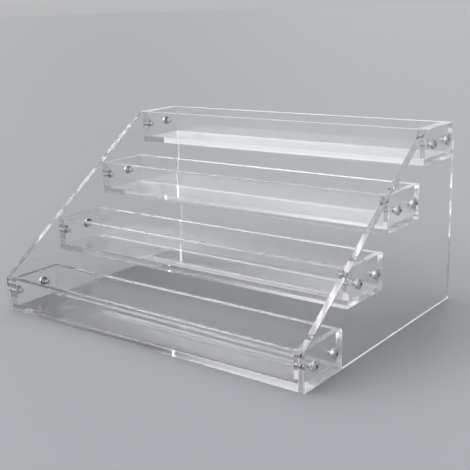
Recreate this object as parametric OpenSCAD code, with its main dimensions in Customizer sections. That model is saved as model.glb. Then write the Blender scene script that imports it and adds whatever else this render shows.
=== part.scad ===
// A free-standing shelf riser with four open trays that climb in equal steps between two side panels.
// Every tray is a box of five flat acrylic sheets, bonded edge to face, and two pan-head screws hold
// each tray end to its side panel. X runs along the trays, Y from the front to the back, Z upwards.
// The origin lies in the middle of the footprint, on the surface that the riser stands on.

/* [Rack] */
// Width over the outside faces of the two side panels
rack_w = 305; // [150:1:600]
// Depth from the front of the lowest tray to the back of the top one
rack_d = 228; // [190:1:400]
// Height of the back edge of the side panels
rack_h = 152; // [125:1:300]

/* [Trays] */
// Depth of one tray over its front and back walls
tray_d = 52; // [40:1:63]
// Height of one tray from its underside to its rim
tray_h = 29; // [22:1:38]

/* [Sheets] */
// Thickness of the side panels
panel_t = 5; // [3:0.5:8]
// Thickness of the tray walls
wall_t = 5; // [3:0.5:7]
// Thickness of the tray floors
floor_t = 5; // [3:0.5:7]

/* [Screws] */
// Distance from a tray's front face to its front screw
screw_front = 11; // [10:0.5:18]
// Distance from a tray's back face to its back screw
screw_back = 15; // [11:0.5:18]
// Height of the screws above the underside of their tray
screw_up = 16.5; // [12:0.5:17]
// Outside diameter of the thread
screw_d = 4; // [3:0.5:5]
// Diameter of the pan head
head_d = 8; // [7:0.5:10]
// Height of the pan head
head_h = 3.1; // [2.6:0.1:4]
// Radius of the crown on top of the pan head
crown_r = 6.5; // [6:0.5:9]
// Width across the arms of the cross recess
recess_w = 4.4; // [3.6:0.1:5]
// Width of one arm of the cross recess
recess_arm = 1.1; // [0.8:0.1:1.4]
// Depth of the cross recess below the top of the head
recess_h = 2; // [1.5:0.1:2.3]
// Length of the chamfer on the screw's end
tip_h = 0.6; // [0.3:0.1:1]

/* [Fits] */
// Radial clearance between the thread and its hole in the side panel
panel_clear = 0.25; // [0.15:0.05:0.5]
// Radial clearance between the thread and its tapped hole in the tray end
thread_clear = 0.1; // [0.05:0.05:0.2]

/* [Hidden] */

tray_count = 4;
left = -1;
right = 1;

// The trays fill the space between the panels
tray_l = rack_w - 2 * panel_t;
inside_l = tray_l - 2 * wall_t;
inside_d = tray_d - 2 * wall_t;

// From one tray to the next: back by the run and up by the rise
run = (rack_d - tray_d) / (tray_count - 1);
rise = (rack_h - tray_h) / (tray_count - 1);

// A screw goes through the panel and ends level with the inside of the tray's end wall
screw_l = panel_t + wall_t;
screw_places = [screw_front, tray_d - screw_back];
tip_inset = screw_d / 8;

acrylic = [0.9, 0.94, 0.96, 0.4];
steel = [0.75, 0.75, 0.77];
overcut = 0.5;
$fn = 64;

// Moves children to tray number n, counted from the bottom. They are drawn with the tray's lowest
// front edge on the X axis and the middle of its length at x = 0.
module in_tray(n) {
    translate([0, (n - 1) * run - rack_d / 2, (n - 1) * rise])
        children();
}

// A sheet of the given size, centred along X, with its lowest front edge at [y, z]
module sheet(size, y = 0, z = 0) {
    translate([-size[0] / 2, y, z])
        cube(size);
}

// The holes for the two screws at one end of a tray, as cylinders along X around x
module screw_holes(x, length, diameter) {
    for (y = screw_places)
        translate([x, y, screw_up])
            rotate([0, 90, 0])
                cylinder(d = diameter, h = length + 2 * overcut, center = true);
}

// Five-sided side panel: flat bottom, upright back, a top edge as deep as a tray, a slope that
// touches every tray's front rim, and a short upright front as high as a tray
module side_panel(side) {
    middle = side * (rack_w - panel_t) / 2;
    outline = [[0, 0], [rack_d, 0], [rack_d, rack_h], [rack_d - tray_d, rack_h], [0, tray_h]];
    color(acrylic)
        difference() {
            translate([middle - panel_t / 2, -rack_d / 2, 0])
                rotate([90, 0, 90])
                    linear_extrude(panel_t)
                        polygon(outline);
            for (n = [1 : tray_count])
                in_tray(n)
                    screw_holes(middle, panel_t, screw_d + 2 * panel_clear);
        }
}

// Front wall, as long and as high as the tray
module tray_front(n) {
    color(acrylic)
        in_tray(n)
            sheet([tray_l, wall_t, tray_h]);
}

// Back wall, the same sheet as the front wall
module tray_back(n) {
    color(acrylic)
        in_tray(n)
            sheet([tray_l, wall_t, tray_h], y = tray_d - wall_t);
}

// Floor, bonded inside the four walls with its underside level with theirs
module tray_floor(n) {
    color(acrylic)
        in_tray(n)
            sheet([inside_l, inside_d, floor_t], y = wall_t);
}

// End wall between the front and back walls, with the two tapped holes
module tray_end(n, side) {
    middle = side * (tray_l - wall_t) / 2;
    color(acrylic)
        in_tray(n)
            difference() {
                translate([middle, 0, 0])
                    sheet([wall_t, inside_d, tray_h], y = wall_t);
                screw_holes(middle, wall_t, screw_d + 2 * thread_clear);
            }
}

// Cross recess with its floor at z = 0: two crossed slots that a cone narrows towards the floor
module cross_recess() {
    intersection() {
        linear_extrude(recess_h + overcut)
            union() {
                square([recess_w, recess_arm], center = true);
                square([recess_arm, recess_w], center = true);
            }
        cylinder(d1 = recess_arm * 1.5, d2 = recess_w, h = recess_h);
    }
}

// Pan-head screw along Z, with the underside of its head at z = 0 and its shank below
module screw() {
    shank_r = screw_d / 2;
    difference() {
        rotate_extrude()
            union() {
                intersection() {
                    square([head_d / 2, head_h]);
                    translate([0, head_h - crown_r])
                        circle(crown_r);
                }
                polygon([
                    [0, -screw_l], [shank_r - tip_inset, -screw_l],
                    [shank_r, tip_h - screw_l], [shank_r, 0], [0, 0]
                ]);
            }
        translate([0, 0, head_h - recess_h])
            cross_recess();
    }
}

// The four screws of one tray, heads against the outside faces of the side panels
module tray_screws(n) {
    color(steel)
        in_tray(n)
            for (side = [left, right], y = screw_places)
                translate([side * rack_w / 2, y, screw_up])
                    rotate([0, side * 90, 0])
                        screw();
}

side_panel(left);  // side_panel_left
side_panel(right);  // side_panel_right

tray_front(1);  // tray_1_front
tray_back(1);  // tray_1_back
tray_floor(1);  // tray_1_floor
tray_end(1, left);  // tray_1_end_left
tray_end(1, right);  // tray_1_end_right
tray_screws(1);  // tray_1_screws

tray_front(2);  // tray_2_front
tray_back(2);  // tray_2_back
tray_floor(2);  // tray_2_floor
tray_end(2, left);  // tray_2_end_left
tray_end(2, right);  // tray_2_end_right
tray_screws(2);  // tray_2_screws

tray_front(3);  // tray_3_front
tray_back(3);  // tray_3_back
tray_floor(3);  // tray_3_floor
tray_end(3, left);  // tray_3_end_left
tray_end(3, right);  // tray_3_end_right
tray_screws(3);  // tray_3_screws

tray_front(4);  // tray_4_front
tray_back(4);  // tray_4_back
tray_floor(4);  // tray_4_floor
tray_end(4, left);  // tray_4_end_left
tray_end(4, right);  // tray_4_end_right
tray_screws(4);  // tray_4_screws
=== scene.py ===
import math

import bmesh
import bpy
from mathutils import Matrix, Vector


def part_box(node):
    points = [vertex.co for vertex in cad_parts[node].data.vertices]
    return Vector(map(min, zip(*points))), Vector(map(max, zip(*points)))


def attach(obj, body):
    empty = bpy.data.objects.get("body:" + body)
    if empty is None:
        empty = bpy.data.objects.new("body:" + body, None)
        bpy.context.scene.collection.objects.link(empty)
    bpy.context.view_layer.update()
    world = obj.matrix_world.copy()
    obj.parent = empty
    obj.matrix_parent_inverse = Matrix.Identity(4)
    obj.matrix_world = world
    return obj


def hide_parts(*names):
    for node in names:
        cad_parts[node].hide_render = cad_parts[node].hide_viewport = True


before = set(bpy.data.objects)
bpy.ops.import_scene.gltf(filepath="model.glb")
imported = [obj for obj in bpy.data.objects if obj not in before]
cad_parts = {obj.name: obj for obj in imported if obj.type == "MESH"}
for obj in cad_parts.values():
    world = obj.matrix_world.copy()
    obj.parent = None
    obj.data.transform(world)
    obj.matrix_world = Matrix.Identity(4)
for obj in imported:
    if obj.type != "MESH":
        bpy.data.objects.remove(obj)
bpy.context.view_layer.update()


# ---- Camera ----
# A slightly long lens in front of the right-hand end, a little above the top tray and looking down
# at it. The riser faces -Y, and the camera stands 38 degrees round from there towards +X.
camera_place = (0.4349, -0.5474, 0.2483)
camera_round = math.radians(37.8)
camera_down = math.radians(14.97)
camera_roll = math.radians(-1.82)
camera_data = bpy.data.cameras.new("camera")
camera_data.sensor_width = 36
camera_data.lens = 65.3
camera_data.clip_start = 0.02
camera = bpy.data.objects.new("camera", camera_data)
bpy.context.scene.collection.objects.link(camera)
camera.matrix_world = (
    Matrix.Translation(camera_place)
    @ Matrix.Rotation(camera_round, 4, "Z")
    @ Matrix.Rotation(math.pi / 2 - camera_down, 4, "X")
    @ Matrix.Rotation(camera_roll, 4, "Z")
)
bpy.context.scene.camera = camera


# ---- Side panels ----
# Two flat sheets of clear cast acrylic, cut to a five-sided outline and drilled for the screws. Their
# edges are flame polished, which eases the corners and leaves the thickness glossy but softly rippled.
def linear(code):
    """The linear colour of an sRGB hex value such as "c8cacc"."""
    parts = [int(code[i : i + 2], 16) / 255 for i in (0, 2, 4)]
    return [p / 12.92 if p <= 0.04045 else ((p + 0.055) / 1.055) ** 2.4 for p in parts] + [1]


def add(tree, kind, inputs=None, **settings):
    """Adds one node. An input is set to a plain value, or linked where it is another node's output."""
    made = tree.nodes.new("ShaderNode" + kind)
    for name, value in settings.items():
        setattr(made, name, value)
    for name, value in (inputs or {}).items():
        if isinstance(value, bpy.types.NodeSocket):
            tree.links.new(value, made.inputs[name])
        else:
            made.inputs[name].default_value = value
    return made


def new_material(name):
    """A new material with an empty tree."""
    material = bpy.data.materials.new(name)
    material.use_nodes = True
    material.node_tree.nodes.clear()
    return material, material.node_tree


def cast_acrylic_face():
    """Cast acrylic sheet (PMMA) as it leaves the glass mould: clear and glossy, IOR 1.49. Handling
    leaves a faint uneven haze, in patches about 40 mm across, which takes the edge off reflections."""
    material, tree = new_material("cast_acrylic_face")
    patches_per_metre = 25.0
    where = add(tree, "TexCoord").outputs["Object"]
    noise = add(tree, "TexNoise", {"Vector": where, "Scale": patches_per_metre, "Detail": 4.0})
    haze = noise.outputs["Fac"]
    rough = add(
        tree,
        "MapRange",
        {"Value": haze, "From Min": 0.4, "From Max": 0.75, "To Min": 0.0, "To Max": 0.01},
    )
    shader = add(
        tree,
        "BsdfPrincipled",
        {
            "Base Color": linear("fdfdfd"),
            "IOR": 1.49,
            "Transmission Weight": 0.995,
            "Roughness": rough.outputs["Result"],
        },
    )
    add(tree, "OutputMaterial", {"Surface": shader.outputs["BSDF"]})
    return material


def flame_polished_edge():
    """The sawn thickness of the sheet after flame polishing: glossy, with a trace of haze that gathers
    light and a soft ripple of about 8 mm, left by the moving flame."""
    material, tree = new_material("flame_polished_edge")
    ripples_per_metre = 120.0
    where = add(tree, "TexCoord").outputs["Object"]
    noise = add(tree, "TexNoise", {"Vector": where, "Scale": ripples_per_metre, "Detail": 1.0})
    bump = add(tree, "Bump", {"Height": noise.outputs["Fac"], "Distance": 0.00001, "Strength": 0.03})
    shader = add(
        tree,
        "BsdfPrincipled",
        {
            "Base Color": linear("fdfdfd"),
            "IOR": 1.49,
            "Transmission Weight": 0.97,
            "Roughness": 0.05,
            "Normal": bump.outputs["Normal"],
        },
    )
    add(tree, "OutputMaterial", {"Surface": shader.outputs["BSDF"]})
    return material


def solvent_weld():
    """A solvent-welded joint: the two sheets have run into one, so light passes it unbent and loses
    only a trace to the fine bubbles in the weld."""
    material, tree = new_material("solvent_weld")
    clear = add(tree, "BsdfTransparent", {"Color": linear("fdfdfd")})
    add(tree, "OutputMaterial", {"Surface": clear.outputs["BSDF"]})
    return material


FACE, EDGE, WELD = 0, 1, 2
sheet_finishes = [cast_acrylic_face(), flame_polished_edge(), solvent_weld()]
corner_ease = 0.0002
touching = 1e-5
square_on = 0.99
sharp = 0.1


def inside(point, low, high):
    """Whether a point lies in a box, or on its surface."""
    return all(low[i] - touching <= point[i] <= high[i] + touching for i in range(3))


def finish_sheet(bm, thin_axis, welds, name, node):
    """Eases the free edges of a sheet's mesh, sets its finishes and makes its object in place of the
    node. welds are the boxes of the sheets that it is welded to, and its edges there stay sharp."""
    for low, high in welds:
        for axis in range(3):
            for side in (low, high):
                bmesh.ops.bisect_plane(
                    bm,
                    geom=bm.verts[:] + bm.edges[:] + bm.faces[:],
                    dist=touching / 10,
                    plane_co=side,
                    plane_no=[float(i == axis) for i in range(3)],
                )
    for face in bm.faces:
        if any(inside(face.calc_center_median(), low, high) for low, high in welds):
            face.material_index = WELD
        else:
            face.material_index = FACE if abs(face.normal[thin_axis]) > square_on else EDGE
    free = [
        edge
        for edge in bm.edges
        if edge.calc_face_angle(0) > sharp and all(face.material_index != WELD for face in edge.link_faces)
    ]
    eased = bmesh.ops.bevel(
        bm, geom=free, offset=corner_ease, segments=3, profile=0.5, affect="EDGES", material=-1
    )
    for face in eased["faces"]:
        face.material_index = EDGE
    mesh = bpy.data.meshes.new(name)
    bm.to_mesh(mesh)
    bm.free()
    for finish in sheet_finishes:
        mesh.materials.append(finish)
    piece = bpy.data.objects.new(name, mesh)
    bpy.context.scene.collection.objects.link(piece)
    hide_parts(node)
    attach(piece, "root")
    return piece


def screw_centres(tray):
    """The places (y, z) of a tray's two pairs of screws, from the box round their heads."""
    low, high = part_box(f"tray_{tray}_screws")
    head_r = (high.z - low.z) / 2
    return [(low.y + head_r, low.z + head_r), (high.y - head_r, low.z + head_r)]


def carve(piece, bm):
    """Cuts the shape of a mesh away from a piece."""
    mesh = bpy.data.meshes.new("cutter")
    bm.to_mesh(mesh)
    bm.free()
    for finish in piece.data.materials:
        mesh.materials.append(finish)
    cutter = bpy.data.objects.new("cutter", mesh)
    bpy.context.scene.collection.objects.link(cutter)
    cut = piece.modifiers.new("cut", "BOOLEAN")
    cut.object = cutter
    carved = bpy.data.meshes.new_from_object(piece.evaluated_get(bpy.context.evaluated_depsgraph_get()))
    piece.modifiers.clear()
    piece.data = carved
    bpy.data.objects.remove(cutter)


def drill(piece, trays, low_x, high_x, radius):
    """Drills the screw holes of the given trays along X, through a piece from low_x to high_x."""
    bm = bmesh.new()
    past_both_faces = 1.5
    for tray in trays:
        for y, z in screw_centres(tray):
            centre = Matrix.Translation(((low_x + high_x) / 2, y, z))
            bmesh.ops.create_cone(
                bm,
                cap_ends=True,
                segments=hole_sides,
                radius1=radius,
                radius2=radius,
                depth=(high_x - low_x) * past_both_faces,
                matrix=centre @ Matrix.Rotation(math.pi / 2, 4, "Y"),
            )
    for face in bm.faces:
        face.material_index = EDGE
        face.smooth = True
    carve(piece, bm)


panel_hole_r = 0.00225
hole_sides = 40

for side in ("left", "right"):
    node = f"side_panel_{side}"
    low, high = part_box(node)
    lowest_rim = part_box("tray_1_front")[1].z
    top_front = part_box("tray_4_front")[0].y
    outline = [(low.y, low.z), (high.y, low.z), (high.y, high.z), (top_front, high.z), (low.y, lowest_rim)]
    bm = bmesh.new()
    profile = bm.faces.new([bm.verts.new((low.x, y, z)) for y, z in outline])
    grown = bmesh.ops.extrude_face_region(bm, geom=[profile])["geom"]
    corners = [part for part in grown if isinstance(part, bmesh.types.BMVert)]
    bmesh.ops.translate(bm, vec=(high.x - low.x, 0, 0), verts=corners)
    bmesh.ops.recalc_face_normals(bm, faces=bm.faces)
    panel = finish_sheet(bm, 0, [], f"panel_{side}", node)
    drill(panel, (1, 2, 3, 4), low.x, high.x, panel_hole_r)


# ---- Trays ----
# Each tray is five acrylic sheets, solvent-welded into an open box: the front and back walls run the
# full length, the end walls stand between them, and the floor lies inside all four. The end walls are
# tapped for the screws, and a film of air is left where the tray meets the side panels.
thread_root_r = 0.00157
air_film = Vector((0.00002, 0, 0))
thin_axes = {"front": 1, "back": 1, "floor": 2, "end_left": 0, "end_right": 0}

for tray in (1, 2, 3, 4):
    boxes = {}
    for part in thin_axes:
        low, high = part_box(f"tray_{tray}_{part}")
        if part in ("front", "back", "end_left"):
            low += air_film
        if part in ("front", "back", "end_right"):
            high -= air_film
        boxes[part] = (low, high)
    for part, thin_axis in thin_axes.items():
        low, high = boxes[part]
        bm = bmesh.new()
        bmesh.ops.create_cube(bm, size=1)
        bmesh.ops.scale(bm, vec=high - low, verts=bm.verts)
        bmesh.ops.translate(bm, vec=(low + high) / 2, verts=bm.verts)
        welds = [boxes[other] for other in thin_axes if other != part]
        node = f"tray_{tray}_{part}"
        piece = finish_sheet(bm, thin_axis, welds, f"{node}_sheet", node)
        if part.startswith("end"):
            drill(piece, (tray,), low.x, high.x, thread_root_r)


# ---- Screws ----
# Pan-head machine screws of bright stainless steel, cold headed and thread rolled, with a cross recess.
# Each goes through a side panel and into the tapped end of a tray.
def stainless_steel():
    """Cold-headed stainless steel: bright, with a grain from the dies of about 1 mm, which is drawn
    coarser than the real one so that it shows."""
    material, tree = new_material("stainless_steel_headed")
    grains_per_metre = 900.0
    where = add(tree, "TexCoord").outputs["Object"]
    noise = add(tree, "TexNoise", {"Vector": where, "Scale": grains_per_metre, "Detail": 3.0})
    rough = add(tree, "MapRange", {"Value": noise.outputs["Fac"], "To Min": 0.06, "To Max": 0.14})
    shader = add(
        tree,
        "BsdfPrincipled",
        {"Base Color": linear("dededf"), "Metallic": 1.0, "Roughness": rough.outputs["Result"]},
    )
    add(tree, "OutputMaterial", {"Surface": shader.outputs["BSDF"]})
    return material


def recess_painted_shade():
    """The floor and sides of the cross recess: the punch leaves them matt, with a roughness that varies in
    spots under 1 mm. Their dark grey colour is painted shade, standing in for the shade deep in the
    recess."""
    material, tree = new_material("stainless_steel_recess_painted_shade")
    spots_per_metre = 1500.0
    where = add(tree, "TexCoord").outputs["Object"]
    noise = add(tree, "TexNoise", {"Vector": where, "Scale": spots_per_metre, "Detail": 2.0})
    rough = add(tree, "MapRange", {"Value": noise.outputs["Fac"], "To Min": 0.45, "To Max": 0.65})
    # The dark grey base colour is painted shade for the depth of the recess, not a colour the steel has.
    shader = add(
        tree,
        "BsdfPrincipled",
        {"Base Color": linear("2e2e30"), "Metallic": 1.0, "Roughness": rough.outputs["Result"]},
    )
    add(tree, "OutputMaterial", {"Surface": shader.outputs["BSDF"]})
    return material


RECESS = 1
steel_and_recess_shade = [stainless_steel(), recess_painted_shade()]
panel_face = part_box("side_panel_right")[1].x
head_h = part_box("tray_1_screws")[1].x - panel_face
crown_r = 0.0065
rim_rounding = 0.0005
under_ease = 0.0002
thread_crest_r = 0.00199
pitch = 0.0007
crest_start, crest_end = 0.42 * pitch, 0.54 * pitch
neck = 0.0003
lead, lead_taper = 0.0005, 0.8
steps_round = 32
recess_w, recess_arm, recess_h, recess_taper = 0.0044, 0.0011, 0.002, 0.55


def lathe(bm, profile):
    """Turns a profile of (along, radius) points round the X axis."""
    corners = [bm.verts.new((along, 0, radius)) for along, radius in profile]
    edges = [bm.edges.new(pair) for pair in zip(corners, corners[1:])]
    bmesh.ops.spin(
        bm,
        geom=corners + edges,
        cent=(0, 0, 0),
        axis=(1, 0, 0),
        angle=math.tau,
        steps=steps_round,
        use_merge=True,
    )


def pan_head(radius):
    """The profile of a head, as points (along, radius) from the middle of its crown to the neck."""
    profile = []
    crown_steps, rim_steps = 8, 5
    edge_slope = math.asin((radius - rim_rounding) / crown_r)
    for step in range(crown_steps + 1):
        slope = edge_slope * step / crown_steps
        profile.append((head_h - crown_r * (1 - math.cos(slope)), crown_r * math.sin(slope)))
    rim = profile[-1][0] - rim_rounding
    for step in range(1, rim_steps + 1):
        slope = edge_slope + (math.pi / 2 - edge_slope) * step / rim_steps
        out = radius - rim_rounding + rim_rounding * math.sin(slope)
        profile.append((rim + rim_rounding * math.cos(slope), out))
    profile += [(under_ease, radius), (0, radius - under_ease)]
    profile += [(0, thread_root_r + under_ease), (-under_ease, thread_root_r)]
    return profile


def thread(bm, length):
    """The rolled thread: a toothed profile that moves along by one pitch in a turn. It is made too long
    at both ends, and then cut square."""
    spare = 2
    teeth = int(length / pitch) + 2 * spare
    points = []
    for tooth in range(teeth):
        root = (tooth - teeth + spare) * pitch
        points.append((root, thread_root_r))
        points += [(root + crest_start, thread_crest_r), (root + crest_end, thread_crest_r)]
    corners = [bm.verts.new((along, 0, radius)) for along, radius in points]
    edges = [bm.edges.new(pair) for pair in zip(corners, corners[1:])]
    bmesh.ops.spin(
        bm,
        geom=corners + edges,
        cent=(0, 0, 0),
        axis=(1, 0, 0),
        dvec=(pitch / steps_round, 0, 0),
        angle=math.tau,
        steps=steps_round,
    )
    bmesh.ops.remove_doubles(bm, verts=bm.verts, dist=1e-6)
    for along, outwards in ((-neck, 1), (lead - length, -1)):
        bmesh.ops.bisect_plane(
            bm,
            geom=bm.verts[:] + bm.edges[:] + bm.faces[:],
            dist=1e-7,
            plane_co=(along, 0, 0),
            plane_no=(outwards, 0, 0),
            clear_outer=True,
        )


def screw(head_r, length):
    """One screw along X, its head towards +X with the underside at 0. Its length is under the head."""
    bm = bmesh.new()
    thread(bm, length)
    tip = [edge for edge in bm.edges if edge.is_boundary and edge.verts[0].co.x < -length / 2]
    grown = bmesh.ops.extrude_edge_only(bm, edges=tip)["geom"]
    tip = [part for part in grown if isinstance(part, bmesh.types.BMVert)]
    bmesh.ops.scale(bm, vec=(1, lead_taper, lead_taper), verts=tip)
    for corner in tip:
        corner.co.x = -length
    bmesh.ops.holes_fill(bm, edges=[edge for edge in bm.edges if all(v in tip for v in edge.verts)])
    lathe(bm, pan_head(head_r))
    bmesh.ops.remove_doubles(bm, verts=bm.verts, dist=1e-7)
    collar = [edge for edge in bm.edges if edge.is_boundary]
    bmesh.ops.bridge_loops(bm, edges=collar)
    bmesh.ops.recalc_face_normals(bm, faces=bm.faces)
    for face in bm.faces:
        face.smooth = True
    return bm


def cross_punch():
    """The punch of the cross recess: four arms round a square middle, narrower at the tip. It is turned
    a little, so that its edges miss the lines of the head's own mesh."""
    bm = bmesh.new()
    middle = bmesh.ops.create_cube(bm, size=1)["verts"]
    bmesh.ops.scale(bm, vec=(2 * recess_h, recess_arm, recess_arm), verts=middle)
    bmesh.ops.translate(bm, vec=(head_h, 0, 0), verts=middle)
    sides = [face for face in bm.faces if abs(face.calc_center_median().x - head_h) < recess_h / 2]
    for arm in bmesh.ops.extrude_discrete_faces(bm, faces=sides)["faces"]:
        outwards = arm.calc_center_median()
        outwards.x = 0
        reach = (recess_w - recess_arm) / 2
        bmesh.ops.translate(bm, vec=outwards.normalized() * reach, verts=arm.verts)
    tip = [corner for corner in bm.verts if corner.co.x < head_h]
    bmesh.ops.scale(bm, vec=(1, recess_taper, recess_taper), verts=tip)
    turned = Matrix.Rotation(math.radians(4), 3, "X")
    bmesh.ops.rotate(bm, cent=(0, 0, 0), matrix=turned, verts=bm.verts)
    bmesh.ops.recalc_face_normals(bm, faces=bm.faces)
    for face in bm.faces:
        face.material_index = RECESS
    return bm


def steel_piece(bm, name):
    """A mesh object from a bmesh, in the bright steel and the painted shade of the recess."""
    mesh = bpy.data.meshes.new(name)
    bm.to_mesh(mesh)
    bm.free()
    for finish in steel_and_recess_shade:
        mesh.materials.append(finish)
    made = bpy.data.objects.new(name, mesh)
    bpy.context.scene.collection.objects.link(made)
    return made


low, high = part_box("tray_1_screws")
inner_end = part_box("tray_1_end_right")[0].x
pattern = steel_piece(screw((high.z - low.z) / 2, panel_face - inner_end), "screw_pattern")
carve(pattern, cross_punch())
# The cut leaves slivers where it meets the crown, and these are merged away.
carved = pattern.data
bm = bmesh.new()
bm.from_mesh(carved)
bmesh.ops.remove_doubles(bm, verts=bm.verts, dist=2e-6)
bmesh.ops.dissolve_degenerate(bm, edges=bm.edges, dist=1e-6)
bmesh.ops.triangulate(bm, faces=bm.faces)
bm.to_mesh(carved)
bm.free()
bpy.data.objects.remove(pattern)

# Each head stopped at its own angle when its screw was driven home.
head_turns = {1: (20, 70, 35, 80), 2: (55, 5, 65, 25), 3: (10, 40, 75, 50), 4: (85, 30, 15, 60)}
for tray in (1, 2, 3, 4):
    bm = bmesh.new()
    turns = iter(head_turns[tray])
    for side in (-1, 1):
        for y, z in screw_centres(tray):
            before = set(bm.verts)
            bm.from_mesh(carved)
            new = [corner for corner in bm.verts if corner not in before]
            spot = Matrix.Translation((side * panel_face, y, z))
            facing = Matrix.Rotation(0 if side > 0 else math.pi, 4, "Z")
            turned = Matrix.Rotation(math.radians(next(turns)), 4, "X")
            bmesh.ops.transform(bm, matrix=spot @ facing @ turned, verts=new)
    piece = steel_piece(bm, f"tray_{tray}_machine_screws")
    piece.data.set_sharp_from_angle(angle=math.radians(40))
    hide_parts(f"tray_{tray}_screws")
    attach(piece, "root")


# ---- Floor and light ----
# A wide pale board in a white studio. The light comes from all round, with soft lamps and grey screens
# in it that the clear sheets show as light and dark bands. Low down it fades to the floor's tone.
def pale_board():
    """Painted board: pale grey and nearly matt, with a slight sheen where light rakes across it."""
    material, tree = new_material("pale_board")
    shader = add(tree, "BsdfPrincipled", {"Base Color": linear("acaeb1"), "Roughness": 0.5, "IOR": 1.4})
    add(tree, "OutputMaterial", {"Surface": shader.outputs["BSDF"]})
    return material


floor_reach = 60
below_feet = 0.0001
bm = bmesh.new()
bmesh.ops.create_grid(bm, x_segments=1, y_segments=1, size=floor_reach)
bmesh.ops.translate(bm, vec=(0, 0, -below_feet), verts=bm.verts)
floor_mesh = bpy.data.meshes.new("floor")
bm.to_mesh(floor_mesh)
bm.free()
floor_mesh.materials.append(pale_board())
floor = bpy.data.objects.new("floor", floor_mesh)
bpy.context.scene.collection.objects.link(floor)

world = bpy.data.worlds.new("studio")
bpy.context.scene.world = world
world.use_nodes = True
tree = world.node_tree
tree.nodes.clear()
way = add(tree, "TexCoord").outputs["Generated"]


def glow(level, round_z, up, full, fade, strength):
    """Adds a soft round patch of light to a level, or takes one away. Its middle lies round_z degrees
    round from +X and up degrees high. It is even out to full degrees and gone at fade degrees."""
    round_z, up = math.radians(round_z), math.radians(up)
    middle = (math.cos(up) * math.cos(round_z), math.cos(up) * math.sin(round_z), math.sin(up))
    near = add(tree, "VectorMath", {0: way, 1: middle}, operation="DOT_PRODUCT")
    patch = add(
        tree,
        "MapRange",
        {
            "Value": near.outputs["Value"],
            "From Min": math.cos(math.radians(fade)),
            "From Max": math.cos(math.radians(full)),
            "To Max": strength,
        },
        interpolation_type="SMOOTHSTEP",
    )
    both = add(tree, "Math", {0: level, 1: patch.outputs["Result"]}, operation="ADD")
    return both.outputs["Value"]


level = 0.88
level = glow(level, 45, 20, 20, 50, -0.55)  # a wide grey screen behind the right-hand end
level = glow(level, 134, 25, 6, 17, -0.72)  # a small dark one behind the left-hand end
level = glow(level, 125, 25, 1, 9, 0.5)  # a small lamp at the edge of the dark screen
level = glow(level, 225, 20, 10, 32, 1.9)  # the main lamp, low in front on the left
level = glow(level, 200, 45, 15, 45, 0.6)  # a wide weak lamp, high on the left
up = add(tree, "SeparateXYZ", {"Vector": way}).outputs["Z"]
horizon_level, horizon_top = 0.5, 0.1
rise = add(
    tree,
    "MapRange",
    {"Value": up, "From Min": 0.0, "From Max": horizon_top},
    interpolation_type="SMOOTHSTEP",
)
shown = add(tree, "Mix", {"Factor": rise.outputs["Result"], "A": horizon_level, "B": level})
sky = add(tree, "Background", {"Color": linear("fcfdff"), "Strength": shown.outputs["Result"]})
add(tree, "OutputWorld", {"Surface": sky.outputs["Background"]})

bpy.context.scene.view_settings.view_transform = "Standard"
# Light that enters a sheet is turned back between its faces many times before it leaves at an edge.
bpy.context.scene.cycles.max_bounces = 96
bpy.context.scene.cycles.transmission_bounces = 64
bpy.context.scene.cycles.glossy_bounces = 64
bpy.context.scene.cycles.transparent_max_bounces = 64
